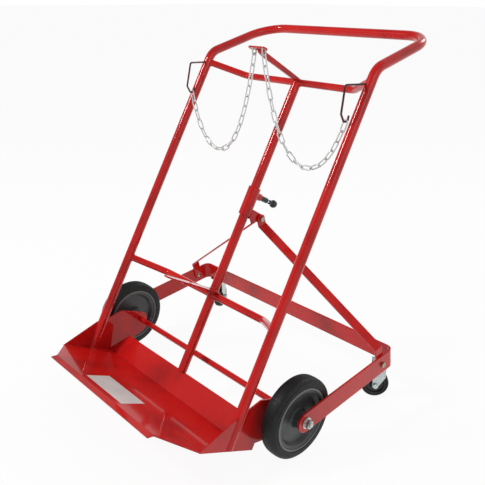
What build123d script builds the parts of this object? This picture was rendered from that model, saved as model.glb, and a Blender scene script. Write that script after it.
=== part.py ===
from build123d import *
import os
from math import asinh, atan2, atanh, cos, cosh, degrees, radians, sin, sinh, sqrt, tan

os.makedirs("parts", exist_ok=True)

# Oxy-acetylene cylinder cart: leaning tube frame on two large wheels, with a folding
# rear frame on two castors. Millimetres, +Z up, +X to the right seen from the front,
# -Y is the front where the cylinders stand, +Y the rear with the castors and handle.

# ---- driving dimensions ---------------------------------------------------------
WHEEL_D = 200.0          # main wheels
WHEEL_W = 44.0
WHEEL_X = 347.0          # centre plane of each main wheel
TYRE_D = 156.0           # inside of the rubber
AXLE_D = 12.0
AXLE_TUBE_D = 16.0       # distance tube on the axle between the side plates
RUNNING = 0.05           # radial clearance of everything that turns on a shaft

LEAN = 29.6              # the uprights lean back from vertical
UPRIGHT_X = 296.0        # centre line of the outer uprights
UPRIGHT_SET = 150.0      # uprights' plane stands this far ahead of the axle, at axle height
TUBE_D = 25.0
TUBE_WALL = 2.0
TIE_D = 19.0
DISH = 77.0              # the cradle's back lies this far behind the outer uprights
DISH_X = 196.0           # bends of the cross ties
LOWER_TIE = 245.0        # heights along the uprights, from axle level
TOP_TIE = 861.0
HANDLE_BEND = 892.0
HANDLE_RISE = 15.0       # handle sides climb this much above level
HANDLE_REACH = 232.0     # horizontal run of the handle sides
BEND_R = 52.0
CORNER_BEND = 80.0
TIE_BEND = 40.0

SHEET = 3.0              # toe tray
TRAY_HALF = 303.0
LIP_HALF = 219.0         # the tray narrows to this at its lip
WALL_HALF = 224.0        # and the back wall to this at its top
END_FRONT = 89.0         # the end walls start this far ahead of the uprights' plane
TRAY_FLOOR = -37.9       # floor height along the uprights
TRAY_SLOPE = 0.081       # floor drops this much per unit towards the front
TRAY_REAR = 62.0         # fold between floor and back wall, behind the uprights' plane
TRAY_FRONT = 157.0       # fold of the front lip, ahead of it
PLATE = 5.0              # side plates, arms and braces

ARM_X = 380.0            # outer faces of the rear frame
ARM_LEN = 339.0
FOLD = 25.0              # the rear frame folds up this far
ARM_TILT = 7.0
BAR_H = 50.0
CORNER_R = 20.0
CASTOR_X = 345.5
CASTOR_BACK = 14.0       # swivel axes behind the rear bar
CASTOR_D = 75.0
CASTOR_W = 24.0
TRAIL = 24.0
CASTOR_H = 112.0         # underside of the lugs above the ground
LUG = 5.0                # lug thickness
LUG_R = 14.0
SWIVEL = {-1: 30.5, 1: 134.6}    # stored turn of each castor from straight back

SLEEVE_LOW, SLEEVE_TOP = 474.0, 553.0
SLEEVE_D = 33.7
PIVOT_UP = 482.0         # brace pivot on the sleeve
PIVOT_BACK = 128.0
BRACE_INSET = 50.0       # brace pivot ahead of the rear bar, along the arm
BRACE_W = 25.0
PLUNGER_UP = 535.0
PIN_D = 8.0
BOLT_D = 8.0

LINK_PITCH = 28.5        # long-link chain
LINK_WIRE = 3.5
LINK_GAP = 8.0
LINK_PLAY = 0.2
EYE_WIRE = 4.0
CHAIN_LINKS = {-1: 19, 1: 18}
LINK_ROLL = 19.0         # how far the links lie over where the chain runs level

# ---- frame geometry -------------------------------------------------------------
AXLE_Z = WHEEL_D / 2
S, C = sin(radians(LEAN)), cos(radians(LEAN))


def lean(across, back, up):
    """Point given across the cart, behind the uprights' plane and up along the uprights."""
    return Vector(across, -UPRIGHT_SET + back * C + up * S, AXLE_Z - back * S + up * C)


FAR = 2 * (HANDLE_BEND + UPRIGHT_X)                          # longer than anything it cuts
LEANING = Location(Plane(origin=lean(0, 0, 0), x_dir=(1, 0, 0), z_dir=(0, S, C)))
AXLE_BACK, AXLE_UP = UPRIGHT_SET * C, UPRIGHT_SET * S        # axle seen from the frame
BRACE_AT = ARM_LEN - BRACE_INSET
AT, AC = sin(radians(ARM_TILT)), cos(radians(ARM_TILT))
CASTOR_Y = ARM_LEN * AC + CASTOR_BACK
TUBE_WAY = Vector(0, S, C)                                   # the way the sleeve slides


def arm_pivot(fold):
    """Brace pivot on the arms when the rear frame is folded up by this angle."""
    a = radians(ARM_TILT + fold)
    return Vector(0, BRACE_AT * cos(a), AXLE_Z + BRACE_AT * sin(a))


brace_head, brace_foot = lean(0, PIVOT_BACK, PIVOT_UP), arm_pivot(0)
BRACE_LEN = (brace_foot - brace_head).length
apart = brace_head - arm_pivot(FOLD)
LOCK_STEP = sqrt(apart.dot(TUBE_WAY) ** 2 - apart.dot(apart) + BRACE_LEN ** 2) - apart.dot(TUBE_WAY)
ARM = Location(Plane(origin=(0, 0, AXLE_Z), x_dir=(1, 0, 0), z_dir=(0, -AT, AC)))

bend = lean(0, 0, HANDLE_BEND)
grip = bend + Vector(0, HANDLE_REACH, HANDLE_REACH * tan(radians(HANDLE_RISE)))
LIP = (-TRAY_FRONT - 16, TRAY_FLOOR - TRAY_SLOPE * TRAY_FRONT - 6)
front_y = lean(0, *LIP).Y
MIDDLE_Y = (grip.Y + TUBE_D / 2 + front_y) / 2               # origin under the middle


# ---- helpers --------------------------------------------------------------------
def save(name, *shapes):
    """Write one sub-part, moved so that the origin lies under the cart's middle."""
    moved = [Pos(0, -MIDDLE_Y, 0) * s for s in shapes]
    solids = [solid for s in moved for solid in s.solids()]
    part = solids[0] if len(solids) == 1 else Compound(children=solids)
    part.label = name
    export_step(part, f"parts/{name}.step")


def rounded_path(points, radii):
    """Wire through the points with an arc of the given radius at each inner corner."""
    points = [Vector(*p) for p in points]
    edges, start = [], points[0]
    for before, corner, after, r in zip(points, points[1:], points[2:], radii):
        a, b = (before - corner).normalized(), (after - corner).normalized()
        half = radians(a.get_angle(b)) / 2
        first, last = corner + a * (r / tan(half)), corner + b * (r / tan(half))
        middle = corner + (a + b).normalized() * (r / sin(half) - r)
        edges += [Edge.make_line(start, first), Edge.make_three_point_arc(first, middle, last)]
        start = last
    return Wire(edges + [Edge.make_line(start, points[-1])])


def round_bar(path, diameter, wall=0.0):
    """Round bar along a path, or a tube when a wall is given."""
    section = Circle(diameter / 2)
    if wall:
        section -= Circle(diameter / 2 - wall)
    return sweep(Plane(origin=path @ 0, z_dir=path % 0) * section, path=path)


def rod(radius, height):
    """Cylinder standing on the XY plane."""
    return Cylinder(radius, height, align=(Align.CENTER, Align.CENTER, Align.MIN))


def band(points, thickness):
    """Face of a bent strip: the points run along one side, the material lies to their right."""
    pts = [Vector(*p) for p in points]
    sides = [(b - a).normalized() for a, b in zip(pts, pts[1:])]
    rights = [Vector(d.Y, -d.X) for d in sides]
    far = []
    for i, p in enumerate(pts):
        m, n = rights[max(i - 1, 0)], rights[min(i, len(rights) - 1)]
        far.append(p + (m + n) * (thickness / (1 + m.dot(n))))
    return make_face(Polyline(*pts, *reversed(far), close=True))


def cylinder_x(radius, x0, x1, y, z):
    """Cylinder along X between two planes."""
    return Pos((x0 + x1) / 2, y, z) * Rot(0, 90, 0) * Cylinder(radius, abs(x1 - x0))


def ring_x(outer, inner, x0, x1, y, z):
    low, high = min(x0, x1), max(x0, x1)
    return cylinder_x(outer, low, high, y, z) - cylinder_x(inner, low - 1, high + 1, y, z)


def plate_x(outline, x0, x1):
    """Plate square to X; the outline is given as (y, z)."""
    low, high = min(x0, x1), max(x0, x1)
    return extrude(Plane(origin=(low, 0, 0), x_dir=(0, 1, 0), z_dir=(1, 0, 0)) * outline, high - low)


def hex_x(flats, x0, x1, y, z):
    """Hexagon head or nut along X."""
    low, high = min(x0, x1), max(x0, x1)
    head = extrude(Plane(origin=(low, y, z), z_dir=(1, 0, 0)) * RegularPolygon(flats / sqrt(3), 6), high - low)
    crown = cylinder_x(flats / sqrt(3) * 0.96, low, high, y, z)
    return head & crown


def turned_x(profile, y, z):
    """Solid of revolution about X through (y, z); the profile is given as (x, radius)."""
    face = make_face(Polyline(*profile, close=True))
    return Pos(0, y, z) * Rot(90, 0, 0) * revolve(face, Axis.X)


def mirrored(shape):
    return mirror(shape, about=Plane.YZ)


# ---- main hoop: both outer uprights and the push handle from one tube -------------
def floor_up(back):
    return TRAY_FLOOR + TRAY_SLOPE * back


foot = lean(0, 0, floor_up(0) - 4)
hoop_path = rounded_path(
    [(-UPRIGHT_X, foot.Y, foot.Z), (-UPRIGHT_X, bend.Y, bend.Z), (-UPRIGHT_X, grip.Y, grip.Z),
     (UPRIGHT_X, grip.Y, grip.Z), (UPRIGHT_X, bend.Y, bend.Z), (UPRIGHT_X, foot.Y, foot.Z)],
    [BEND_R, CORNER_BEND, CORNER_BEND, BEND_R])
floor_tilt = degrees(atan2(TRAY_SLOPE, 1))
floor_plane = LEANING * Pos(0, 0, TRAY_FLOOR) * Rot(floor_tilt, 0, 0)
under_floor = floor_plane * Box(FAR, FAR, FAR, align=(Align.CENTER, Align.CENTER, Align.MAX))
main_hoop = round_bar(hoop_path, TUBE_D, TUBE_WALL) - under_floor

uprights_solid = [LEANING * Pos(side * UPRIGHT_X, 0, 2 * TRAY_FLOOR) * rod(
    TUBE_D / 2, HANDLE_BEND - 2 * TRAY_FLOOR) for side in (-1, 1)]

# ---- cross ties and centre upright ------------------------------------------------
WALL_TOP = 29.0


def tie(height):
    path = rounded_path([lean(-UPRIGHT_X, 0, height), lean(-DISH_X, DISH, height),
                         lean(DISH_X, DISH, height), lean(UPRIGHT_X, 0, height)], [TIE_BEND, TIE_BEND])
    bar = round_bar(path, TIE_D, 1.5)
    for upright in uprights_solid:
        bar -= upright
    return bar


def biggest(shape):
    """The main piece left after trimming, without slivers inside a tube."""
    return max(shape.solids(), key=lambda s: s.volume)


top_tie = biggest(tie(TOP_TIE))
top_tie_core = LEANING * Pos(0, DISH, TOP_TIE) * Rot(0, 90, 0) * Cylinder(TIE_D / 2, DISH_X)
centre_outer = LEANING * Pos(0, DISH, WALL_TOP) * rod(TUBE_D / 2, TOP_TIE - WALL_TOP)
centre_upright = centre_outer - LEANING * Pos(0, DISH, WALL_TOP) * rod(TUBE_D / 2 - TUBE_WALL, FAR)
for up in (PLUNGER_UP, PLUNGER_UP + LOCK_STEP):              # locking holes
    centre_upright -= LEANING * Pos(0, DISH, up) * Rot(-90, 0, 0) * rod(PIN_D / 2 + 0.3, TUBE_D)
centre_upright = biggest(centre_upright - top_tie_core)

lower_tie = tie(LOWER_TIE) - centre_outer
left_lower_tie = min(lower_tie.solids(), key=lambda s: s.center().X)
right_lower_tie = max(lower_tie.solids(), key=lambda s: s.center().X)

# ---- separators between the two cylinders ------------------------------------------
SEP_TIP = 100.0                                              # ahead of the uprights' plane
SEP_T = 6.0
BAR_RISE = 3.0
bar_low, bar_high = TOP_TIE + 1, TOP_TIE + 13
CROSS_R = 8.0
CROSS_UP = bar_high + BAR_RISE - 6                            # the plate is let into the bar's top edge
top_bar = LEANING * plate_x(make_face(Polyline(
    (DISH, bar_low), (DISH + 8, bar_high), (-SEP_TIP + CROSS_R + 2, bar_high + BAR_RISE),
    (-SEP_TIP + CROSS_R + 2, CROSS_UP), (-SEP_TIP + 2, CROSS_UP), (-SEP_TIP + 8, bar_low + 3),
    (-SEP_TIP + 26, bar_low), close=True)), -SEP_T / 2, SEP_T / 2)
top_bar = biggest(top_bar - top_tie_core - centre_outer)
EYES = {-1: 12.0, 1: 23.0}                                   # left and right eye, off the middle
EYE_DROP = 15.0
EYE_HALF = 6.0
CROSS_HALF = 24.0
cross_outline = make_hull([e for x in (-CROSS_HALF, CROSS_HALF)
                           for e in (Pos(x, -SEP_TIP) * Circle(CROSS_R)).edges()])
cross_plate = LEANING * Pos(0, 0, CROSS_UP) * extrude(cross_outline, 4)
eye_centre = lean(0, -SEP_TIP, CROSS_UP)                      # underside of the cross plate


def chain_eye(side):
    """Bent wire eye welded under the cross plate."""
    x, y, z = side * EYES[side], eye_centre.Y, eye_centre.Z
    path = rounded_path([(x, y - EYE_HALF, z + 4), (x, y - EYE_HALF, z - EYE_DROP),
                         (x, y + EYE_HALF, z - EYE_DROP), (x, y + EYE_HALF, z + 4)], 2 * [EYE_HALF - 0.1])
    keep_under = LEANING * Pos(0, 0, CROSS_UP) * Box(FAR, FAR, FAR, align=(Align.CENTER, Align.CENTER, Align.MAX))
    return biggest(round_bar(path, EYE_WIRE) & keep_under)


def tapered_tongue():
    """Plate on the lower ties, notched round the centre upright and narrowing to the front."""
    neck, heel = DISH - TUBE_D / 2 - 1, DISH + 4
    outline = Polygon((-23, heel), (-23, neck), (-12, -SEP_TIP + 6), (-8, -SEP_TIP), (8, -SEP_TIP),
                      (12, -SEP_TIP + 6), (23, neck), (23, heel), align=None)
    tongue = LEANING * Pos(0, 0, LOWER_TIE + TIE_D / 2) * extrude(outline, 4, dir=(0, 0, 1))
    return biggest(tongue - centre_outer)


# ---- chain hooks on the uprights ---------------------------------------------------
HOOK_D = 5.0
HOOK_X = UPRIGHT_X - 12
HOOK_BELOW = {-1: 32.0, 1: 39.0}                             # under the handle's bend, left and right
HOOK_RUN = {-1: 74.0, 1: 76.0}
HOOK_SLANT = {-1: 14.0, 1: 10.0}


def hook_points(side):
    """Root on the upright, knee of the wire and bottom of the throat, in the plane of the hook."""
    root = lean(0, 0, HANDLE_BEND - HOOK_BELOW[side])
    knee = root + Vector(0, -HOOK_RUN[side] - HOOK_SLANT[side], -62)
    return root, knee, knee + Vector(0, 18, -19)


def chain_hook(side):
    x = side * HOOK_X
    root, knee, low = hook_points(side)
    path = rounded_path(
        [(side * UPRIGHT_X, root.Y, root.Z), (x, root.Y - HOOK_RUN[side], root.Z + 3), (x, knee.Y, knee.Z),
         (x, low.Y - 7, low.Z), (x, low.Y + 7, low.Z), (x, low.Y + 10, low.Z + 13)], [6, 6, 6, 6])
    hook = round_bar(path, HOOK_D)
    for upright in uprights_solid:
        hook -= upright
    return min(hook.solids(), key=lambda s: s.center().Y)


# ---- toe tray: one folded sheet -----------------------------------------------------
profile = band([LIP, (-TRAY_FRONT, floor_up(-TRAY_FRONT)), (TRAY_REAR, floor_up(TRAY_REAR)),
                (DISH, WALL_TOP)], SHEET)
inner = TRAY_HALF - SHEET
tray_plan = Polygon(
    (-LIP_HALF, LIP[0] - 4), (LIP_HALF, LIP[0] - 4), (LIP_HALF + 1, -TRAY_FRONT), (inner + SHEET, -END_FRONT),
    (inner, -END_FRONT), (inner, TRAY_REAR), (WALL_HALF, DISH + 8), (-WALL_HALF, DISH + 8), (-inner, TRAY_REAR),
    (-inner, -END_FRONT), (-inner - SHEET, -END_FRONT), (-LIP_HALF - 1, -TRAY_FRONT), align=None)
tray_prism = Pos(0, 0, -FAR / 2) * extrude(tray_plan, FAR)
UNDER = SHEET * sqrt(1 + TRAY_SLOPE ** 2)                     # floor thickness along the uprights
END_TOP = 38.0
END_REAR = 79.0
END_LOW = -END_FRONT - 2
end_wall = make_face(Polyline(
    (END_LOW, floor_up(END_LOW) - UNDER), (END_LOW, floor_up(END_LOW) - 0.5), (-TUBE_D / 2, END_TOP),
    (-4, END_TOP), (2, 22), (END_REAR, -19), (END_REAR, floor_up(END_REAR) - UNDER), close=True))
tray = LEANING * ((plate_x(profile, -TRAY_HALF, TRAY_HALF) & tray_prism)
                  + plate_x(end_wall, inner, TRAY_HALF) + plate_x(end_wall, -TRAY_HALF, -inner))
for upright in uprights_solid:
    tray -= upright & (floor_plane * Box(FAR, FAR, FAR, align=(Align.CENTER, Align.CENTER, Align.MIN)))
tray = biggest(tray)

# ---- side plates carry the axle ------------------------------------------------------
side_outline = make_face(Polyline(
    (4, floor_up(4)), (4, 44), (50, 84), (AXLE_BACK - 20, AXLE_UP + 20), (AXLE_BACK + 28, AXLE_UP - 8),
    (AXLE_BACK + 29, AXLE_UP - 26), (AXLE_BACK + 4, 19), (AXLE_BACK - 25, -11), (AXLE_BACK - 50, -20),
    (58, floor_up(58)), close=True))
side_outline += Pos(AXLE_BACK, AXLE_UP) * Circle(22)


def side_plate(side):
    plate = LEANING * plate_x(side_outline, side * (inner - PLATE), side * inner)
    plate -= cylinder_x(AXLE_D / 2, -FAR, FAR, 0, AXLE_Z)
    for upright in uprights_solid:
        plate -= upright
    return biggest(plate - tray)


LABEL = (160.0, 70.0)
label = floor_plane * Pos(-12, -TRAY_FRONT + 50, 0.2) * Box(*LABEL, 0.4)

# ---- axle, nuts, washers and spacers --------------------------------------------------
AXLE_END = ARM_X + 17
HUB_IN, HUB_OUT = WHEEL_X - WHEEL_W / 2 - 5, WHEEL_X + WHEEL_W / 2 + 3
NUT_IN = ARM_X + 2.8
axle = cylinder_x(AXLE_D / 2, -AXLE_END, AXLE_END, 0, AXLE_Z)
axle = chamfer(axle.edges().filter_by(GeomType.CIRCLE), 1.2)
axle_tube = ring_x(AXLE_TUBE_D / 2, AXLE_D / 2, PLATE - inner, inner - PLATE, 0, AXLE_Z)


def axle_nut(side):
    nut = hex_x(19, side * NUT_IN, side * (NUT_IN + 10), 0, AXLE_Z)
    return nut - cylinder_x(AXLE_D / 2, -FAR, FAR, 0, AXLE_Z)


def axle_washer(side):
    return ring_x(14, AXLE_D / 2, side * (ARM_X + 0.3), side * NUT_IN, 0, AXLE_Z)


def spacer(side):
    return ring_x(11, AXLE_D / 2, side * inner, side * (HUB_IN - 0.3), 0, AXLE_Z)


def outer_spacer(side):
    return ring_x(11, AXLE_D / 2, side * (HUB_OUT + 0.3), side * (ARM_X - PLATE - 0.3), 0, AXLE_Z)


# ---- main wheels: solid rubber tyre on a dished plastic hub ----------------------------
R, RT = WHEEL_D / 2, TYRE_D / 2
TYRE_IN, TYRE_OUT = WHEEL_X - WHEEL_W / 2, WHEEL_X + WHEEL_W / 2
tyre = turned_x([(TYRE_IN + 2, RT), (TYRE_IN, RT + 4), (TYRE_IN + 1.5, R - 9), (TYRE_IN + 8, R - 1),
                 (TYRE_IN + 11, R), (TYRE_OUT - 11, R), (TYRE_OUT - 8, R - 1), (TYRE_OUT - 1.5, R - 9),
                 (TYRE_OUT, RT + 4), (TYRE_OUT - 2, RT)], 0, AXLE_Z)
hub = turned_x([(TYRE_IN + 2, RT), (TYRE_IN + 2, RT - 6), (WHEEL_X - 6, RT - 11), (WHEEL_X - 6, 25),
                (HUB_IN, 20), (HUB_IN, AXLE_D / 2 + RUNNING), (HUB_OUT, AXLE_D / 2 + RUNNING), (HUB_OUT, 17),
                (WHEEL_X + 6, 24), (WHEEL_X + 6, RT - 12), (TYRE_OUT - 4, RT - 7), (TYRE_OUT - 1, RT - 5),
                (TYRE_OUT - 1, RT - 1.5), (TYRE_OUT - 2, RT)], 0, AXLE_Z)

# ---- rear frame: flat bar bent to a U, standing on edge ---------------------------------
ix = ARM_X - PLATE
u_outer = make_face(rounded_path([(-ARM_X, 0), (-ARM_X, ARM_LEN), (ARM_X, ARM_LEN), (ARM_X, 0)],
                                 [CORNER_R, CORNER_R]).edges() + [Edge.make_line((ARM_X, 0), (-ARM_X, 0))])
u_inner = make_face(rounded_path([(-ix, -1), (-ix, ARM_LEN - PLATE), (ix, ARM_LEN - PLATE), (ix, -1)],
                                 2 * [CORNER_R - PLATE]).edges() + [Edge.make_line((ix, -1), (-ix, -1))])
rear_u = Pos(0, 0, -BAR_H / 2) * extrude(u_outer - u_inner, BAR_H)
for side in (-1, 1):
    rear_u += cylinder_x(BAR_H / 2, side * ix, side * ARM_X, 0, 0)
    rear_u -= cylinder_x(AXLE_D / 2 + RUNNING, side * (ix - 1), side * (ARM_X + 1), 0, 0)
    rear_u -= cylinder_x(BOLT_D / 2, side * (ix - 1), side * (ARM_X + 1), BRACE_AT, 0)
rear_u = ARM * rear_u


def castor_lug(side):
    """Tongue welded under the rear bar, rounded round the castor's stem."""
    rear = ARM_LEN * AC
    root = Pos(side * CASTOR_X, rear - PLATE - 1) * Rectangle(
        2 * LUG_R, CASTOR_Y - rear + PLATE + 1, align=(Align.CENTER, Align.MIN))
    outline = root + Pos(side * CASTOR_X, CASTOR_Y) * Circle(LUG_R)
    return Pos(0, 0, CASTOR_H) * extrude(outline, LUG, dir=(0, 0, 1))


lugs_solid = [castor_lug(side) for side in (-1, 1)]
rear_u = biggest(rear_u - lugs_solid)


def brace_bolt(side):
    """Bolt held in the arm, its head outside."""
    y, z = brace_foot.Y, brace_foot.Z
    bolt = hex_x(13, side * ARM_X, side * (ARM_X + 5.3), y, z)
    return bolt + cylinder_x(BOLT_D / 2, side * ix, side * ARM_X, y, z)


# ---- castors: each is built trailing straight back from its swivel axis at x = y = 0 -----
RACE_H = 6.0
STEM_D = 10.0
NUT_H = 4.5              # thin nut on the stem
FORK_T = 2.5
CROWN_T = 3.0
CROWN_Z = CASTOR_H - RACE_H - 0.3                             # top of the fork
LEG_X = CASTOR_W / 2 + 3.0                                    # inner faces of the fork's legs
RC, WC = CASTOR_D / 2, CASTOR_W / 2


def on_cart(side, shape, turn=True):
    """Castor piece in its place, turned about the swivel axis as it stands."""
    return Pos(side * CASTOR_X, CASTOR_Y, 0) * Rot(0, 0, SWIVEL[side] if turn else 0) * shape


def castor_mount():
    """Upper race under the lug, with the stem through it and the cap that holds the fork."""
    cap_z = CROWN_Z - CROWN_T - 0.3
    mount = Pos(0, 0, CASTOR_H - RACE_H) * rod(LUG_R - 1, RACE_H)
    mount += Pos(0, 0, cap_z - 3) * rod(STEM_D / 2 + 3, 3)
    return mount + Pos(0, 0, cap_z) * rod(STEM_D / 2, CASTOR_H + LUG + NUT_H + 1.5 - cap_z)


def castor_nut():
    nut = Pos(0, 0, CASTOR_H + LUG) * extrude(RegularPolygon(17 / sqrt(3), 6), NUT_H)
    nut &= Pos(0, 0, CASTOR_H + LUG) * rod(17 / sqrt(3) * 0.96, NUT_H)
    return nut - Pos(0, 0, CASTOR_H) * rod(STEM_D / 2, 2 * RACE_H + LUG)


def castor_fork():
    """Pressed fork: crown under the race and two legs down to the wheel's pin."""
    heel = TRAIL + 8
    half = LEG_X + FORK_T
    body = Pos(0, 0, CROWN_Z - CROWN_T) * rod(LUG_R + 2, CROWN_T)
    body += Pos(0, -2, CROWN_Z - CROWN_T) * Box(
        2 * half, heel + 2, CROWN_T, align=(Align.CENTER, Align.MIN, Align.MIN))
    leg = make_hull(Polyline((-2, CROWN_Z), (heel, CROWN_Z), (-2, RC + 25), close=True).edges()
                    + (Pos(TRAIL, RC) * Circle(8)).edges())
    for s in (-1, 1):
        body += plate_x(leg, s * LEG_X, s * half)
    body -= Pos(0, 0, CROWN_Z - 2 * CROWN_T) * rod(STEM_D / 2 + RUNNING, 3 * CROWN_T)
    return body - cylinder_x(BOLT_D / 2, -2 * half, 2 * half, TRAIL, RC)


def castor_axle():
    end = LEG_X + FORK_T
    pin = cylinder_x(BOLT_D / 2, -end, end, TRAIL, RC)
    return pin + hex_x(13, -end - 5, -end, TRAIL, RC) + hex_x(13, end, end + 6, TRAIL, RC)


def castor_tyre():
    return turned_x([(-WC, RC - 9), (-WC, RC - 5), (-WC + 4, RC - 0.8), (-WC + 7, RC), (WC - 7, RC),
                     (WC - 4, RC - 0.8), (WC, RC - 5), (WC, RC - 9)], TRAIL, RC)


def castor_hub():
    bore, end = BOLT_D / 2 + RUNNING, LEG_X - 0.3
    return turned_x([(-WC, RC - 9), (-WC + 1, RC - 11), (-5, RC - 14), (-5, 11), (-end, 9), (-end, bore),
                     (end, bore), (end, 9), (5, 11), (5, RC - 14), (WC - 1, RC - 11), (WC, RC - 9)], TRAIL, RC)


# ---- sliding sleeve with ears, lock and braces --------------------------------------------
SLIDE_R = TUBE_D / 2 + RUNNING
BOSS_END = 31.0                                              # distances from the tube's centre line
BARREL_END = 61.0
KNOB_AT = 92.0
sleeve_solid = LEANING * Pos(0, DISH, SLEEVE_LOW) * rod(SLEEVE_D / 2, SLEEVE_TOP - SLEEVE_LOW)
sleeve_bore = LEANING * Pos(0, DISH, SLEEVE_LOW - 1) * rod(SLIDE_R, SLEEVE_TOP - SLEEVE_LOW + 2)
plunger_axis = LEANING * Pos(0, DISH, PLUNGER_UP) * Rot(-90, 0, 0)       # +Z runs to the rear
sleeve = sleeve_solid - sleeve_bore - plunger_axis * rod(PIN_D / 2 + 0.4, BARREL_END)

EAR_X = 8.0                                                  # inner faces of the ears
ear_outline = make_hull(Polyline((DISH + 10, PIVOT_UP - 12), (DISH + 10, PIVOT_UP + 14),
                                 (DISH + 14, PIVOT_UP + 14), close=True).edges() + (Pos(PIVOT_BACK, PIVOT_UP) * Circle(12)).edges())


def ear(side):
    plate = LEANING * plate_x(ear_outline, side * EAR_X, side * (EAR_X + 4))
    plate -= cylinder_x(BOLT_D / 2, -60, 60, brace_head.Y, brace_head.Z)
    return biggest(plate - sleeve_solid)


boss = biggest(plunger_axis * (rod(10, BOSS_END) - rod(7, BOSS_END)) - sleeve_solid)
barrel = plunger_axis * (rod(7, BOSS_END) + Pos(0, 0, BOSS_END) * rod(7.5, BARREL_END - BOSS_END))
barrel = biggest(barrel - plunger_axis * rod(PIN_D / 2 + RUNNING, BARREL_END) - sleeve_solid)
pin_root = TUBE_D / 2 + 0.5
pin = plunger_axis * Pos(0, 0, pin_root) * rod(PIN_D / 2, KNOB_AT - 12 - pin_root)
knob = plunger_axis * (Pos(0, 0, KNOB_AT) * Sphere(11) + Pos(0, 0, KNOB_AT - 20) * rod(6, 14))
knob -= plunger_axis * rod(PIN_D / 2, KNOB_AT - 12)
knob -= plunger_axis * Pos(0, 0, KNOB_AT + 9) * rod(20, 10)

HEAD_X = EAR_X + 4 + 0.5                                      # inner faces of the braces' upper ends
FOOT_X = ix - 0.5 - PLATE                                     # inner faces of their lower ends
pivot_bolt = cylinder_x(BOLT_D / 2, -HEAD_X - PLATE - 0.5, HEAD_X + PLATE + 0.5, brace_head.Y, brace_head.Z)
pivot_bolt += hex_x(13, HEAD_X + PLATE + 0.5, HEAD_X + PLATE + 6, brace_head.Y, brace_head.Z)
pivot_nut = hex_x(13, -HEAD_X - PLATE - 0.5, -HEAD_X - PLATE - 7, brace_head.Y, brace_head.Z)

BRACE_FRAME = Location(Plane(origin=brace_head, x_dir=(1, 0, 0), z_dir=(brace_head - brace_foot).normalized()))


def brace(side):
    """Flat bar from the sleeve out to the arm, its ends set parallel; local z runs up it."""
    tab = BRACE_W / 2
    strip = band([(HEAD_X, tab), (HEAD_X, -20), (FOOT_X, -BRACE_LEN + 48), (FOOT_X, -BRACE_LEN - tab)], -PLATE)
    bar = extrude(Plane(origin=(0, BRACE_W / 2, 0), x_dir=(1, 0, 0), z_dir=(0, -1, 0)) * strip, BRACE_W)
    ends = [e for e in bar.edges().filter_by(Axis.X) if e.length < PLATE + 1]
    bar = fillet(ends, BRACE_W / 2 - 1)
    bar -= cylinder_x(BOLT_D / 2 + RUNNING, 0, 60, 0, 0)
    bar = BRACE_FRAME * bar
    return bar if side > 0 else mirrored(bar)


def brace_rivet(side):
    """Rivet head on the inside of the brace's lower end."""
    y, z = brace_foot.Y, brace_foot.Z
    x = side * FOOT_X
    return turned_x([(x, 0), (x, 6.5), (x - side * 1.5, 6.2), (x - side * 3.2, 4), (x - side * 4, 0)], y, z)


# ---- chains ---------------------------------------------------------------------------------
def link_solid():
    """One long link in the XZ plane, its length along X."""
    half, straight = (LINK_GAP + LINK_WIRE) / 2, LINK_PITCH / 2 + LINK_WIRE / 2 - (LINK_GAP + LINK_WIRE) / 2
    path = Wire([Edge.make_line((-straight, 0, half), (straight, 0, half)),
                 Edge.make_three_point_arc((straight, 0, half), (straight + half, 0, 0), (straight, 0, -half)),
                 Edge.make_line((straight, 0, -half), (-straight, 0, -half)),
                 Edge.make_three_point_arc((-straight, 0, -half), (-straight - half, 0, 0), (-straight, 0, half))])
    return sweep(Plane(origin=(0, 0, half), z_dir=(1, 0, 0)) * Circle(LINK_WIRE / 2), path=path)


def chain(side):
    """Links hanging in the upright plane through the eye and the hook.

    An even count turns a quarter round towards the hook, so that its last link sits square on it."""
    throat = hook_points(side)[2]
    first = Vector(side * EYES[side], eye_centre.Y, eye_centre.Z - EYE_DROP)
    last = Vector(side * HOOK_X, throat.Y, throat.Z)
    along = Vector(last.X - first.X, last.Y - first.Y, 0)
    width, drop = along.length, first.Z - last.Z
    along = along.normalized()
    square = along.cross(Vector(0, 0, 1))
    step = LINK_PITCH - LINK_PLAY
    lead = LINK_PITCH / 2 - LINK_PLAY                         # end of a link to its middle
    start, end = lead - EYE_WIRE / 2, lead - HOOK_D / 2
    count = CHAIN_LINKS[side]
    length = start + step * (count - 1) + end
    low, high = width / 40, width * 40                        # catenary through both ends
    for _ in range(100):
        a = (low + high) / 2
        tight = 2 * a * sinh(width / (2 * a)) > sqrt(length ** 2 - drop ** 2)
        low, high = (a, high) if tight else (low, a)
    middle = width / 2 + a * atanh(drop / length)

    def at(s):
        x = middle + a * asinh(s / a + sinh(-middle / a))
        return first + along * x + Vector(0, 0, a * cosh((x - middle) / a) - a * cosh(middle / a))

    link, links = link_solid(), []
    for i in range(count):
        s = start + step * i
        behind, ahead = at(s - step / 2), at(s + step / 2)
        along_link = (ahead - behind).normalized()
        across = along_link.cross(square)
        lie = LINK_ROLL * (1 - along_link.Z ** 2)
        roll = radians(-side * (lie if count % 2 else 90 * i / (count - 1) - lie))
        if i % 2 == 0:
            wide = across * cos(roll) + square * sin(roll)
        else:
            wide = square * cos(roll) - across * sin(roll)
        links.append(Location(Plane(origin=(behind + ahead) / 2, x_dir=along_link, z_dir=wide)) * link)
    return links


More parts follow.
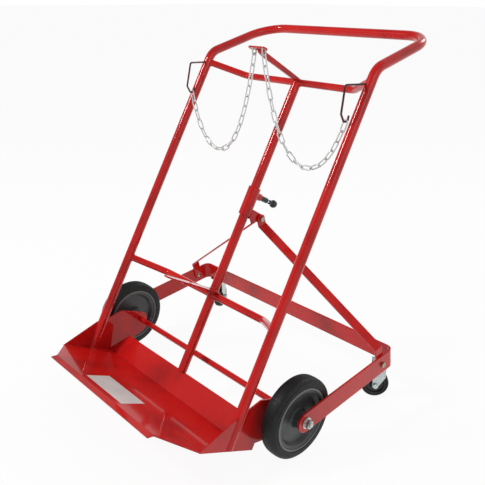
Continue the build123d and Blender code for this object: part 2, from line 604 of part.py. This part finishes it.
# ---- write everything --------------------------------------------------------------------------
save("main_hoop", main_hoop)
save("centre_upright", centre_upright)
save("top_cross_tie", top_tie)
save("left_lower_tie", left_lower_tie)
save("right_lower_tie", right_lower_tie)
save("top_separator_bar", top_bar)
save("separator_cross_plate", cross_plate)
save("chain_eyes", chain_eye(-1), chain_eye(1))
save("lower_separator_tongue", tapered_tongue())
save("toe_tray", tray)
save("toe_label", label)
save("axle", axle)
save("axle_tube", axle_tube)
save("axle_nuts", axle_nut(-1), axle_nut(1))
save("axle_washers", axle_washer(-1), axle_washer(1))
save("inner_spacers", spacer(-1), spacer(1))
save("outer_spacers", outer_spacer(-1), outer_spacer(1))
save("rear_frame", rear_u)
save("castor_lugs", *[lug - on_cart(side, rod(STEM_D / 2, FAR)) for side, lug in zip((-1, 1), lugs_solid)])
save("sleeve", sleeve)
save("sleeve_ears", ear(-1), ear(1))
save("plunger_boss", boss)
save("plunger_barrel", barrel)
save("plunger_pin", pin)
save("plunger_knob", knob)
save("brace_pivot_bolt", pivot_bolt)
save("brace_pivot_nut", pivot_nut - cylinder_x(BOLT_D / 2, -60, 60, brace_head.Y, brace_head.Z))
for name, side in (("left", -1), ("right", 1)):
    save(f"{name}_chain_hook", chain_hook(side))
    save(f"{name}_side_plate", side_plate(side))
    save(f"{name}_tyre", tyre if side > 0 else mirrored(tyre))
    save(f"{name}_hub", hub if side > 0 else mirrored(hub))
    save(f"{name}_brace", brace(side))
    save(f"{name}_brace_rivet", brace_rivet(side))
    save(f"{name}_arm_bolt", brace_bolt(side))
    save(f"{name}_castor_mount", on_cart(side, castor_mount(), turn=False))
    save(f"{name}_castor_nut", on_cart(side, castor_nut(), turn=False))
    save(f"{name}_castor_fork", on_cart(side, castor_fork()))
    save(f"{name}_castor_axle", on_cart(side, castor_axle()))
    save(f"{name}_castor_tyre", on_cart(side, castor_tyre()))
    save(f"{name}_castor_hub", on_cart(side, castor_hub()))
    save(f"{name}_chain", *chain(side))
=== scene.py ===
import math
import random

import bmesh
import bpy
from mathutils import Matrix, Vector


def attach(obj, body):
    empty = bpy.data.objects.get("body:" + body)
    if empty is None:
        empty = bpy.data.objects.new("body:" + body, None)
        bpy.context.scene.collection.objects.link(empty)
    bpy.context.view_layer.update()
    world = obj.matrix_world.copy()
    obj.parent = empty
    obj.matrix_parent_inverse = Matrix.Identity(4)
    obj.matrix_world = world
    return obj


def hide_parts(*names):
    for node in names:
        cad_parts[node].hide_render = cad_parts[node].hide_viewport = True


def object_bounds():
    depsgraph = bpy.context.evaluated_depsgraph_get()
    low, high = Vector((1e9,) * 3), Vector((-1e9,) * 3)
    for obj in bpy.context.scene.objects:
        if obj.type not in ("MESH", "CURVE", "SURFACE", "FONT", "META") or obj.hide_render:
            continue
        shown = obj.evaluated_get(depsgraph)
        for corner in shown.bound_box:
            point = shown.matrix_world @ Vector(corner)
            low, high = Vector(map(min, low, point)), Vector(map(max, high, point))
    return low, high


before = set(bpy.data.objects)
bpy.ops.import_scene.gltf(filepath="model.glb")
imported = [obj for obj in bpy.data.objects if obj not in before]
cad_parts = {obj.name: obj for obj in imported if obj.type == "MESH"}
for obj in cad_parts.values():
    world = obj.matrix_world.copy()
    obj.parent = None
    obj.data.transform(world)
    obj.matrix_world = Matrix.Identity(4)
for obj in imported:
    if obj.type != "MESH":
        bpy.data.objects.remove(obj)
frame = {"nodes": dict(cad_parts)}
nodes, cad_box = frame["nodes"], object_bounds()

# ---- camera -------------------------------------------------------------------------
YAW, PITCH, ROLL = math.radians(47.82), math.radians(18.02), math.radians(0.24)
cam_data = bpy.data.cameras.new("camera")
cam_data.sensor_width, cam_data.lens = 36.0, 48.21
cam_data.shift_x, cam_data.shift_y = 0.0087, -0.0748
cam = bpy.data.objects.new("camera", cam_data)
forward = Vector((-math.sin(YAW) * math.cos(PITCH), math.cos(YAW) * math.cos(PITCH), -math.sin(PITCH)))
aim = forward.to_track_quat("-Z", "Y").to_matrix() @ Matrix.Rotation(ROLL, 3, "Z")
cam.rotation_euler = aim.to_euler()
cam.location = (1.2128, -1.0724, 1.0358)
bpy.context.scene.collection.objects.link(cam)
bpy.context.scene.camera = cam
bpy.context.scene.view_settings.view_transform = "Standard"

# ---- sizes of the cart, in metres, and the frame it leans in ---------------------------
LEAN = math.radians(29.6)
S, C = math.sin(LEAN), math.cos(LEAN)
AXLE = Vector((0, -0.103354, 0.1))                            # middle of the axle
ACROSS, BACK, UP = Vector((1, 0, 0)), Vector((0, C, -S)), Vector((0, S, C))
UPRIGHT_X, UPRIGHT_SET, TUBE_R, TIE_R = 0.296, 0.150, 0.0125, 0.0095
DISH, DISH_X = 0.077, 0.196
LOWER_TIE, TOP_TIE = 0.245, 0.861
TRAY_FLOOR, WALL_TOP, END_TOP = -0.0379, 0.029, 0.038
PLATE_IN, END_SEAM_X = 0.295, 0.3005                          # side plate, tray end wall
FLOOR_SLOPE = 0.081                                           # of the tray floor across the tube
SLEEVE_R, PLUNGER_UP, PIVOT_UP = 0.01685, 0.535, 0.482
WHEEL_X, WHEEL_R, WHEEL_W, TYRE_R = 0.347, 0.100, 0.044, 0.078
ARM_X, ARM_LEN, ARM_TILT = 0.380, 0.339, math.radians(7)
CASTOR_X, CASTOR_R, CASTOR_W, TRAIL, CASTOR_H, LUG = 0.3455, 0.0375, 0.024, 0.024, 0.112, 0.005
REAR_BAR_Y = AXLE.y + ARM_LEN * math.cos(ARM_TILT)             # middle of the rear bar
CASTOR_Y = REAR_BAR_Y + 0.014
CASTOR_RIM = 0.0285                                           # where a castor's tyre meets its hub
SWIVEL = {"left": math.radians(30.5), "right": math.radians(134.6)}
SIDES = (("left", -1), ("right", 1))


def lean(x, back, up):
    """Point given across the cart, behind the uprights' plane and up along them."""
    return AXLE + Vector((x, -UPRIGHT_SET, 0)) + BACK * back + UP * up


# ---- material helpers -------------------------------------------------------------------
class Nodes:
    """Builds a material's node tree with short calls."""

    def __init__(self, name):
        self.mat = bpy.data.materials.new(name)
        self.mat.use_nodes = True
        self.tree = self.mat.node_tree
        self.bsdf = self.tree.nodes["Principled BSDF"]

    def add(self, kind, **values):
        node = self.tree.nodes.new(kind)
        for key, value in values.items():
            setattr(node, key, value)
        return node

    def link(self, a, b):
        self.tree.links.new(a, b)

    def coords(self):
        return self.add("ShaderNodeTexCoord").outputs["Object"]

    def noise(self, scale, detail=4.0, rough=0.55):
        n = self.add("ShaderNodeTexNoise")
        n.inputs["Scale"].default_value = scale
        n.inputs["Detail"].default_value = detail
        n.inputs["Roughness"].default_value = rough
        self.link(self.coords(), n.inputs["Vector"])
        return n.outputs["Fac"]

    def cells(self, scale):
        n = self.add("ShaderNodeTexVoronoi")
        n.inputs["Scale"].default_value = scale
        self.link(self.coords(), n.inputs["Vector"])
        return n.outputs["Distance"]

    def ramp(self, fac, stops):
        n = self.add("ShaderNodeValToRGB")
        ends = n.color_ramp.elements
        ends[0].position, ends[1].position = stops[0][0], stops[-1][0]
        ends[0].color, ends[1].color = stops[0][1], stops[-1][1]
        for at, colour in stops[1:-1]:
            ends.new(at).color = colour
        self.link(fac, n.inputs["Fac"])
        return n.outputs["Color"]

    def span(self, fac, low, high, to_low, to_high):
        n = self.add("ShaderNodeMapRange")
        for key, value in (("From Min", low), ("From Max", high), ("To Min", to_low), ("To Max", to_high)):
            n.inputs[key].default_value = value
        self.link(fac, n.inputs["Value"])
        return n.outputs["Result"]

    def mix(self, fac, a, b):
        n = self.add("ShaderNodeMix", data_type="RGBA")
        for value, socket in ((fac, n.inputs[0]), (a, n.inputs[6]), (b, n.inputs[7])):
            if isinstance(value, bpy.types.NodeSocket):
                self.link(value, socket)
            else:
                socket.default_value = value
        return n.outputs[2]

    def rounded(self, radius):
        """Normal with the edges rounded off, and a mask of those edges."""
        edge = self.add("ShaderNodeBevel", samples=6)
        edge.inputs["Radius"].default_value = radius
        dot = self.add("ShaderNodeVectorMath", operation="DOT_PRODUCT")
        self.link(edge.outputs["Normal"], dot.inputs[0])
        self.link(self.add("ShaderNodeNewGeometry").outputs["Normal"], dot.inputs[1])
        return edge.outputs["Normal"], self.span(dot.outputs["Value"], 0.995, 0.85, 0.0, 1.0)

    def bump(self, height, strength, distance, below=None):
        n = self.add("ShaderNodeBump")
        n.inputs["Strength"].default_value = strength
        n.inputs["Distance"].default_value = distance
        self.link(height, n.inputs["Height"])
        if below:
            self.link(below, n.inputs["Normal"])
        return n.outputs["Normal"]

    def done(self, colour=None, rough=None, normal=None, coat_normal=None, **fixed):
        for key, value in fixed.items():
            self.bsdf.inputs[key.replace("_", " ")].default_value = value
        for socket, name in ((colour, "Base Color"), (rough, "Roughness"), (normal, "Normal"),
                             (coat_normal, "Coat Normal")):
            if socket is not None:
                self.link(socket, self.bsdf.inputs[name])
        return self.mat


def srgb(r, g, b):
    """Linear colour from 0-255 display values."""
    return tuple((c / 255 / 12.92) if c / 255 <= 0.04045 else ((c / 255 + 0.055) / 1.055) ** 2.4
                 for c in (r, g, b)) + (1.0,)


# ---- materials ----------------------------------------------------------------------------
def powder_coat(name, base, dark, light):
    """Glossy powder coat: mild orange peel, faint mottling, and painted shade that darkens it along the
    edges.
    """
    m = Nodes(name)
    soft_edge, edge = m.rounded(0.0012)
    colour = m.ramp(m.noise(9, 3), [(0.3, dark), (0.5, base), (0.75, light)])
    # painted shade: along edges and creases the colour is pulled towards the dark tone
    colour = m.mix(m.span(edge, 0.0, 1.0, 0.0, 0.45), colour, dark)
    rough = m.span(m.noise(160, 2), 0.3, 0.7, 0.34, 0.46)
    peel = m.bump(m.noise(260, 2), 0.045, 0.0004, soft_edge)
    return m.done(colour, rough, peel, peel, Coat_Weight=1.0, Coat_Roughness=0.07, Coat_IOR=1.38,
                  Specular_IOR_Level=0.08)


def rubber(name, base, light, scuff):
    """Solid rubber: fine grain, soft grey bloom and small scuffs."""
    m = Nodes(name)
    colour = m.ramp(m.noise(30, 6, 0.65), [(0.35, base), (0.7, light)])
    rough = m.span(m.noise(220, 3), 0.3, 0.7, 0.42, 0.62)
    grain = m.bump(m.noise(900, 3, 0.6), 0.2, 0.0003)
    return m.done(colour, rough, m.bump(m.noise(45, 5, 0.7), scuff, 0.0006, grain), Specular_IOR_Level=0.3)


def moulded(name, base, light, rough_low, rough_high, rim=None):
    """Moulded plastic with a fine grain; on a wheel a painted highlight makes the rim lip lighter grey from
    the given radius outwards.
    """
    m = Nodes(name)
    colour = m.ramp(m.noise(14, 4), [(0.35, base), (0.7, light)])
    if rim:
        off = m.add("ShaderNodeVectorMath", operation="SUBTRACT")
        flat = m.add("ShaderNodeVectorMath", operation="MULTIPLY")
        length = m.add("ShaderNodeVectorMath", operation="LENGTH")
        off.inputs[1].default_value, flat.inputs[1].default_value = AXLE, (0, 1, 1)
        m.link(m.coords(), off.inputs[0])
        m.link(off.outputs[0], flat.inputs[0])
        m.link(flat.outputs[0], length.inputs[0])
        # painted highlight: a lighter grey ring on the hub's rim lip, outside the given radius
        rim_highlight_mask = m.span(length.outputs["Value"], rim - 0.001, rim + 0.001, 0.0, 0.7)
        colour = m.mix(rim_highlight_mask, colour, srgb(122, 124, 125))
    rough = m.span(m.noise(70, 3), 0.3, 0.7, rough_low, rough_high)
    soft_edge, _ = m.rounded(0.0008)
    return m.done(colour, rough, m.bump(m.noise(650, 3, 0.6), 0.15, 0.0003, soft_edge))


def zinc(name, base, dull, yellow, scale, metal=1.0):
    """Zinc plate: spangle and a faint warm and cool cast."""
    m = Nodes(name)
    cast = m.mix(m.span(m.noise(40, 3), 0.35, 0.65, 0.0, 1.0), base, yellow)
    colour = m.mix(m.span(m.cells(scale), 0.1, 0.9, 0.0, 0.6), cast, dull)
    rough = m.span(m.noise(120, 4), 0.3, 0.7, 0.2, 0.38)
    soft_edge, _ = m.rounded(0.0005)
    return m.done(colour, rough, m.bump(m.noise(500, 3), 0.12, 0.0002, soft_edge), Metallic=metal)


def label_face():
    """Blank vinyl sheet, a little uneven where it is stuck down."""
    m = Nodes("blank_label")
    colour = m.ramp(m.noise(24, 3), [(0.3, srgb(204, 200, 198)), (0.7, srgb(216, 212, 210))])
    wave = m.bump(m.noise(60, 2), 0.1, 0.0006)
    return m.done(colour, m.span(m.noise(90, 3), 0.3, 0.7, 0.3, 0.45), wave)


red = powder_coat("red_powder_coat", srgb(198, 19, 16), srgb(168, 12, 11), srgb(208, 26, 21))
hook_paint = powder_coat("dark_hook_paint", srgb(84, 20, 26), srgb(52, 13, 18), srgb(100, 26, 31))
tyre_rubber = rubber("tyre_rubber", srgb(6, 7, 7), srgb(26, 27, 27), 0.2)
castor_rubber = rubber("castor_rubber", srgb(4, 5, 5), srgb(12, 12, 13), 0.12)
hub_grey = moulded("hub_dark_grey", srgb(42, 44, 45), srgb(72, 74, 75), 0.28, 0.42, 0.0735)
castor_black = moulded("castor_hub_black", srgb(8, 9, 10), srgb(20, 20, 22), 0.35, 0.5)
knob_black = moulded("plunger_black", srgb(15, 15, 16), srgb(30, 30, 32), 0.16, 0.26)
bright_zinc = zinc("bright_zinc", srgb(202, 210, 211), srgb(146, 156, 158), srgb(206, 208, 198), 300)
chain_zinc = zinc("chain_zinc", srgb(222, 227, 227), srgb(190, 195, 196), srgb(224, 225, 220), 420, 0.5)
dull_zinc = zinc("dull_zinc", srgb(172, 172, 168), srgb(120, 120, 118), srgb(178, 170, 142), 260)
label_white = label_face()

PAINT = {
    red: ["main_hoop", "centre_upright", "top_cross_tie", "left_lower_tie", "right_lower_tie",
          "top_separator_bar", "separator_cross_plate", "lower_separator_tongue", "toe_tray",
          "left_side_plate", "right_side_plate", "axle_tube", "rear_frame", "castor_lugs", "sleeve",
          "sleeve_ears", "plunger_boss", "left_brace", "right_brace"],
    hook_paint: ["left_chain_hook", "right_chain_hook"],
    tyre_rubber: ["left_tyre", "right_tyre"],
    castor_rubber: ["left_castor_tyre", "right_castor_tyre"],
    hub_grey: ["left_hub", "right_hub"],
    castor_black: ["left_castor_hub", "right_castor_hub"],
    knob_black: ["plunger_knob", "plunger_barrel"],
    bright_zinc: ["axle", "axle_nuts", "axle_washers", "inner_spacers", "outer_spacers", "left_castor_mount",
                  "right_castor_mount", "left_castor_fork", "right_castor_fork", "left_castor_nut",
                  "right_castor_nut", "left_castor_axle", "right_castor_axle", "plunger_pin", "chain_eyes"],
    dull_zinc: ["brace_pivot_bolt", "brace_pivot_nut", "left_brace_rivet", "right_brace_rivet",
                "left_arm_bolt", "right_arm_bolt"],
    chain_zinc: ["left_chain", "right_chain"],
    label_white: ["toe_label"],
}
for material, names in PAINT.items():
    for name in names:
        nodes[name].data.materials.clear()
        nodes[name].data.materials.append(material)


# ---- mesh helpers ---------------------------------------------------------------------------
def mesh_object(name, verts, faces, material, body, sharp=None):
    """Closed mesh on a body of the frame, smooth except along edges sharper than the given angle."""
    mesh = bpy.data.meshes.new(name)
    mesh.from_pydata([tuple(v) for v in verts], [], faces)
    mesh.validate()
    bm = bmesh.new()
    bm.from_mesh(mesh)
    bmesh.ops.recalc_face_normals(bm, faces=bm.faces)
    bm.to_mesh(mesh)
    bm.free()
    mesh.polygons.foreach_set("use_smooth", [True] * len(mesh.polygons))
    if sharp:
        mesh.set_sharp_from_angle(angle=math.radians(sharp))
    mesh.materials.append(material)
    obj = bpy.data.objects.new(name, mesh)
    bpy.context.scene.collection.objects.link(obj)
    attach(obj, body)
    return obj


def lathe(name, profile, centre, axis, material, body, steps=144, sharp=32):
    """Closed profile of (along, radius) points turned about the axis through the centre."""
    side = axis.orthogonal().normalized()
    other = axis.cross(side)
    verts, faces, n = [], [], len(profile)
    for k in range(steps):
        a = 2 * math.pi * k / steps
        out = side * math.cos(a) + other * math.sin(a)
        verts += [centre + axis * along + out * r for along, r in profile]
    for k in range(steps):
        here, there = k * n, (k + 1) % steps * n
        faces += [(here + i, here + (i + 1) % n, there + (i + 1) % n, there + i) for i in range(n)]
    return mesh_object(name, verts, faces, material, body, sharp)


def rounded_profile(points, radius, steps=4):
    """Profile with each corner eased by about the given radius."""
    out, n = [], len(points)
    for i in range(n):
        before, here, after = Vector(points[i - 1]), Vector(points[i]), Vector(points[(i + 1) % n])
        cut = min(radius, (before - here).length * 0.4, (after - here).length * 0.4)
        a, b = here + (before - here).normalized() * cut, here + (after - here).normalized() * cut
        for k in range(steps + 1):
            t = k / steps
            out.append(tuple(a * (1 - t) ** 2 + here * 2 * t * (1 - t) + b * t ** 2))
    return out


# ---- wheels ------------------------------------------------------------------------------------
def tyre_profile(half, inner, outer):
    """Rubber tyre: stepped sidewalls and fine grooves round a crowned tread."""
    shoulder = 0.0068
    wall = [(-half + 0.0022, inner), (-half + 0.0004, inner + 0.003), (-half + 0.0012, inner + 0.0042),
            (-half + 0.0008, outer - 0.0112), (-half + 0.0020, outer - 0.0106),
            (-half + 0.0030, outer - 0.0060), (-half + shoulder, outer - 0.0018)]
    tread, grooves = [], 8
    span = 2 * (half - shoulder)
    for k in range(grooves + 1):
        x = -span / 2 + span * k / grooves
        crown = outer - 0.0014 * (2 * x / span) ** 2
        tread += [(x - 0.0009, crown), (x - 0.0005, crown - 0.0007), (x + 0.0005, crown - 0.0007),
                  (x + 0.0009, crown)] if 0 < k < grooves else [(x, crown)]
    return wall + tread[1:-1] + [(-x, r) for x, r in reversed(wall)]


def hub_profile(half, rim):
    """Dished hub: rim lip, plain dish, web and a long boss bored for the axle."""
    outer = [(half - 0.0020, rim), (half - 0.0010, rim - 0.0016), (half - 0.0012, rim - 0.0046),
             (half - 0.0044, rim - 0.0062), (half - 0.0052, rim - 0.0120), (0.0062, rim - 0.0190),
             (0.0062, 0.0250), (0.0110, 0.0225), (half + 0.0028, 0.0200), (half + 0.0028, 0.0150),
             (half + 0.0004, 0.0140), (half + 0.0004, 0.0095), (half + 0.0028, 0.0085),
             (half + 0.0028, 0.0063)]
    return rounded_profile(outer + [(-x, r) for x, r in reversed(outer)], 0.0014)


for side, sign in SIDES:
    hub_at = AXLE + ACROSS * (sign * WHEEL_X)
    tyre = lathe(f"{side}_tyre_ribbed", tyre_profile(WHEEL_W / 2, TYRE_R, WHEEL_R), hub_at, ACROSS * sign,
                 tyre_rubber, f"{side}_wheel", 192, 40)
    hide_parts(f"{side}_tyre")
    hub = lathe(f"{side}_hub_dished", hub_profile(WHEEL_W / 2, TYRE_R), hub_at, ACROSS * sign, hub_grey,
                f"{side}_wheel", 160, 50)
    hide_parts(f"{side}_hub")

    turn = SWIVEL[side]
    trail = Vector((-math.sin(turn), math.cos(turn), 0)) * TRAIL
    axis = Vector((math.cos(turn), math.sin(turn), 0))
    centre = Vector((sign * CASTOR_X, CASTOR_Y, CASTOR_R)) + trail
    tyre = lathe(f"{side}_castor_tyre_round", rounded_profile(
        [(-CASTOR_W / 2, CASTOR_RIM), (-CASTOR_W / 2, 0.0330), (-0.0085, 0.0366), (-0.0040, CASTOR_R),
         (0.0040, CASTOR_R), (0.0085, 0.0366), (CASTOR_W / 2, 0.0330), (CASTOR_W / 2, CASTOR_RIM)],
        0.0012), centre, axis, castor_rubber,
        f"{side}_castor_wheel", 128, 40)
    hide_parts(f"{side}_castor_tyre")
    face = [(-0.0118, CASTOR_RIM), (-0.0110, 0.0262), (-0.0096, 0.0248), (-0.0060, 0.0236),
            (-0.0052, 0.0150), (-0.0070, 0.0125), (-0.0146, 0.0105), (-0.0146, 0.0042)]
    both_faces = face + [(-x, r) for x, r in reversed(face)]
    hub = lathe(f"{side}_castor_hub_turned", rounded_profile(both_faces, 0.0007), centre, axis,
                castor_black, f"{side}_castor_wheel", 96, 40)
    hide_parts(f"{side}_castor_hub")


# ---- screw threads --------------------------------------------------------------------
def thread_profile(start, end, radius, pitch=0.0015, depth=0.0006):
    """Screw thread drawn as closed ridges between two planes."""
    points, x = [(start, radius - depth)], start
    while x + pitch <= end + 1e-6:
        points += [(x + pitch / 2, radius), (x + pitch, radius - depth)]
        x += pitch
    return points + [(x, radius * 0.55), (start, radius * 0.55)]


for side, sign in SIDES:
    axle_thread = thread_profile(ARM_X + 0.0128, ARM_X + 0.0168, 0.00615)
    lathe(f"{side}_axle_thread", axle_thread, AXLE, ACROSS * sign, bright_zinc, "cart_frame", 48, 60)
    stem_at = Vector((sign * CASTOR_X, CASTOR_Y, 0))
    stem_thread = thread_profile(CASTOR_H + LUG + 0.0045, CASTOR_H + LUG + 0.0060, 0.00512)
    lathe(f"{side}_stem_thread", stem_thread, stem_at, Vector((0, 0, 1)), bright_zinc, "rear_carrier",
          48, 60)


# ---- weld beads -----------------------------------------------------------------------------------
def bead_rings(points, radius, closed, rng):
    """Rings of a weld bead along points: overlapping ripples, a little uneven."""
    count, sides, rings, travelled, side = len(points), 8, [], 0.0, None
    for i, p in enumerate(points):
        before = points[i - 1] if (i or closed) else p
        after = points[(i + 1) % count] if (i < count - 1 or closed) else p
        along = (after - before).normalized()
        side = along.orthogonal() if side is None else side - along * side.dot(along)
        side.normalize()
        travelled += (p - before).length
        r = radius * (0.86 + 0.2 * abs(math.sin(travelled / 0.0032 * math.pi)) + rng.uniform(-0.03, 0.03))
        if not closed and i in (0, count - 1):
            r *= 0.35
        other = along.cross(side)
        turns = [2 * math.pi * k / sides for k in range(sides)]
        rings.append([p + (side * math.cos(a) + other * math.sin(a)) * r for a in turns])
    return rings


def welds(name, body, runs, radius=0.0021):
    """One piece of weld beads; each run is a list of points and whether it closes on itself."""
    rng = random.Random(name)
    verts, faces = [], []
    for points, closed in runs:
        rings = bead_rings(points, radius, closed, rng)
        base, sides = len(verts), len(rings[0])
        for ring in rings:
            verts += ring
        for i in range(len(rings) if closed else len(rings) - 1):
            a, b = base + i * sides, base + ((i + 1) % len(rings)) * sides
            faces += [(a + k, a + (k + 1) % sides, b + (k + 1) % sides, b + k) for k in range(sides)]
        if not closed:
            faces += [tuple(base + k for k in reversed(range(sides))),
                      tuple(base + (len(rings) - 1) * sides + k for k in range(sides))]
    return mesh_object(name, verts, faces, red, body)


def saddle(centre, branch, main_axis, r, big, steps=72):
    """Seam of a branch tube of radius r square to a main tube of radius big."""
    across, seam = main_axis.cross(branch).normalized(), []
    for k in range(steps):
        a = 2 * math.pi * k / steps
        u, v = r * math.cos(a), r * math.sin(a)
        seam.append(centre + branch * math.sqrt(big * big - u * u) + across * u + main_axis * v)
    return seam


def straight(a, b, step=0.0008):
    n = max(4, int((b - a).length / step))
    return [a.lerp(b, i / n) for i in range(n + 1)]


def arc(point_at, start, end, steps=40):
    """Points of a curve given by a function of the angle, between two angles in degrees."""
    return [point_at(math.radians(start + (end - start) * k / steps)) for k in range(steps + 1)]


def tie_seams(height):
    """Where a cross tie meets both outer uprights."""
    seams = []
    for side, sign in SIDES:
        branch = (ACROSS * (-sign * (UPRIGHT_X - DISH_X)) + BACK * DISH).normalized()
        seams.append((saddle(lean(sign * UPRIGHT_X, 0, height), branch, UP, TIE_R, TUBE_R), True))
    return seams


def under_tie(angle):
    """Mouth of the centre tube under the top tie."""
    back = TUBE_R * math.cos(angle)
    drop = math.sqrt(max(TIE_R ** 2 - back ** 2, 0))
    return lean(TUBE_R * math.sin(angle), DISH + back, TOP_TIE - drop)


welds("top_tie_welds", "cart_frame", tie_seams(TOP_TIE) + [(arc(under_tie, 0, 355, 90), True)])
welds("lower_tie_welds", "cart_frame", tie_seams(LOWER_TIE) + [
    (saddle(lean(0, DISH, LOWER_TIE), ACROSS * sign, UP, TIE_R, TUBE_R), True) for side, sign in SIDES])
foot_seams = []
for side, sign in SIDES:
    def round_foot(angle, sign=sign):
        back = TUBE_R * math.sin(angle)
        return lean(sign * (UPRIGHT_X - TUBE_R * math.cos(angle)), back, TRAY_FLOOR + FLOOR_SLOPE * back)

    def upright_seam(x, back, low, high, sign=sign):
        return straight(lean(sign * x, back, low), lean(sign * x, back, high)), False

    foot_seams += [(arc(round_foot, -105, 105), False),
                   upright_seam(END_SEAM_X, -0.0118, TRAY_FLOOR, END_TOP - 0.001),
                   upright_seam(END_SEAM_X, 0.0118, TRAY_FLOOR, 0.015),
                   upright_seam(PLATE_IN - 0.0004, 0.0126, TRAY_FLOOR + 0.002, 0.051)]
welds("foot_welds", "cart_frame", foot_seams)
welds("wall_welds", "cart_frame", [
    (straight(lean(-0.0115, DISH + back, WALL_TOP), lean(0.0115, DISH + back, WALL_TOP)), False)
    for back in (-0.0005, 0.0035)], 0.0018)


def round_centre(angle):
    """Front of the centre upright just above the tongue."""
    r = TUBE_R + 0.0003
    return lean(r * math.sin(angle), DISH - r * math.cos(angle), LOWER_TIE + TIE_R + 0.004)


def over_tie(x):
    """Seam of the separator bar's flank over the top tie."""
    return arc(lambda angle: lean(x, DISH + TIE_R * math.sin(angle), TOP_TIE + TIE_R * math.cos(angle)),
               -72, 24, 30)


welds("tongue_welds", "cart_frame", [(arc(round_centre, -95, 95), False)])
welds("separator_welds", "cart_frame", [(over_tie(x), False) for x in (-0.0034, 0.0034)], 0.0016)
sleeve_seams = [(saddle(lean(0, DISH, PLUNGER_UP), BACK, UP, 0.010, SLEEVE_R), True)]
for sign in (-1, 1):
    ear_x, ear_back = sign * 0.0123, DISH + 0.0120
    sleeve_seams.append((straight(lean(ear_x, ear_back, PIVOT_UP - 0.007),
                                  lean(ear_x, ear_back, PIVOT_UP + 0.013)), False))
welds("sleeve_welds", "lock_sleeve", sleeve_seams, 0.0017)
lug_y, lug_top, lug_half = REAR_BAR_Y + 0.0031, CASTOR_H + LUG, 0.013
welds("lug_welds", "rear_carrier", [
    (straight(Vector((sign * CASTOR_X - lug_half, lug_y, lug_top)),
              Vector((sign * CASTOR_X + lug_half, lug_y, lug_top))), False) for side, sign in SIDES], 0.0018)

# ---- floor, world and lamps ---------------------------------------------------------------
FLOOR_HALF, FLOOR_DROP, FLOOR_GLOW = 60, 0.0005, 0.93
floor_mesh = bpy.data.meshes.new("floor")
bm = bmesh.new()
bmesh.ops.create_grid(bm, x_segments=1, y_segments=1, size=FLOOR_HALF)
bm.to_mesh(floor_mesh)
bm.free()
floor = bpy.data.objects.new("floor", floor_mesh)
bpy.context.scene.collection.objects.link(floor)
floor.location.z = -FLOOR_DROP
ground = Nodes("floor_white")
ground.done(Base_Color=(0.9, 0.9, 0.9, 1), Roughness=0.9, Specular_IOR_Level=0.0)
glow = ground.add("ShaderNodeEmission")
kinds = ground.add("ShaderNodeLightPath")
mirrored = ground.add("ShaderNodeMath", operation="MAXIMUM")
either = ground.add("ShaderNodeMath", operation="MAXIMUM")
seen = ground.add("ShaderNodeMath", operation="MULTIPLY")
seen.inputs[1].default_value = FLOOR_GLOW
blend = ground.add("ShaderNodeMixShader")
ground.link(kinds.outputs["Is Glossy Ray"], mirrored.inputs[0])
ground.link(kinds.outputs["Is Transmission Ray"], mirrored.inputs[1])
ground.link(mirrored.outputs[0], either.inputs[0])
ground.link(kinds.outputs["Is Camera Ray"], either.inputs[1])
ground.link(either.outputs[0], seen.inputs[0])
ground.link(seen.outputs[0], blend.inputs[0])
ground.link(ground.bsdf.outputs[0], blend.inputs[1])
ground.link(glow.outputs[0], blend.inputs[2])
ground.link(blend.outputs[0], ground.tree.nodes["Material Output"].inputs["Surface"])
floor.data.materials.append(ground.mat)

world = bpy.data.worlds.new("studio")
bpy.context.scene.world = world
world.use_nodes = True
sky = world.node_tree


def sky_math(operation, a, b):
    """Maths node in the world: a and b are sockets or numbers."""
    n = sky.nodes.new("ShaderNodeMath")
    n.operation = operation
    for value, socket in ((a, n.inputs[0]), (b, n.inputs[1])):
        if isinstance(value, bpy.types.NodeSocket):
            sky.links.new(value, socket)
        else:
            socket.default_value = value
    return n.outputs[0]


def sky_span(value, low, high, to_low, to_high):
    n = sky.nodes.new("ShaderNodeMapRange")
    for key, number in (("From Min", low), ("From Max", high), ("To Min", to_low), ("To Max", to_high)):
        n.inputs[key].default_value = number
    sky.links.new(value, n.inputs["Value"])
    return n.outputs["Result"]


rays = sky.nodes.new("ShaderNodeLightPath")
direction = sky.nodes.new("ShaderNodeSeparateXYZ")
sky.links.new(sky.nodes.new("ShaderNodeTexCoord").outputs["Generated"], direction.inputs[0])
# a white studio behind and to the right of the cart, dim towards the front left and overhead
open_side = sky_math("ADD", sky_math("MULTIPLY", direction.outputs["X"], 0.75),
                     sky_math("MULTIPLY", direction.outputs["Y"], 0.66))
walls = sky_math("MULTIPLY", sky_span(open_side, -0.5, 0.4, 0.3, 1.0),
                 sky_span(direction.outputs["Z"], 0.25, 0.8, 1.0, 0.45))
mirror = sky_math("MAXIMUM", rays.outputs["Is Glossy Ray"], rays.outputs["Is Transmission Ray"])
SOFT_LIGHT = 0.42
mirrored_part = sky_math("MULTIPLY", mirror, walls)
soft_part = sky_math("MULTIPLY", sky_math("SUBTRACT", 1.0, mirror), SOFT_LIGHT)
level = sky_math("ADD", mirrored_part, soft_part)
camera_ray = rays.outputs["Is Camera Ray"]
level = sky_math("ADD", sky_math("MULTIPLY", level, sky_math("SUBTRACT", 1.0, camera_ray)), camera_ray)
sky.links.new(level, sky.nodes["Background"].inputs["Strength"])
sky.nodes["Background"].inputs["Color"].default_value = (1, 1, 1, 1)


def lamp(name, at, towards, size, watts):
    data = bpy.data.lights.new(name, "AREA")
    data.shape, data.size, data.energy = "SQUARE", size, watts
    obj = bpy.data.objects.new(name, data)
    obj.location = at
    obj.rotation_euler = (Vector(towards) - Vector(at)).to_track_quat("-Z", "Y").to_euler()
    bpy.context.scene.collection.objects.link(obj)


lamp("key", (-1.6, -2.6, 3.2), (0, 0, 0.4), 0.8, 92)
lamp("side", (3.0, -0.2, 2.2), (0, 0, 0.4), 1.8, 12)
lamp("back", (0.5, 3.0, 2.6), (0, 0, 0.5), 1.2, 26)
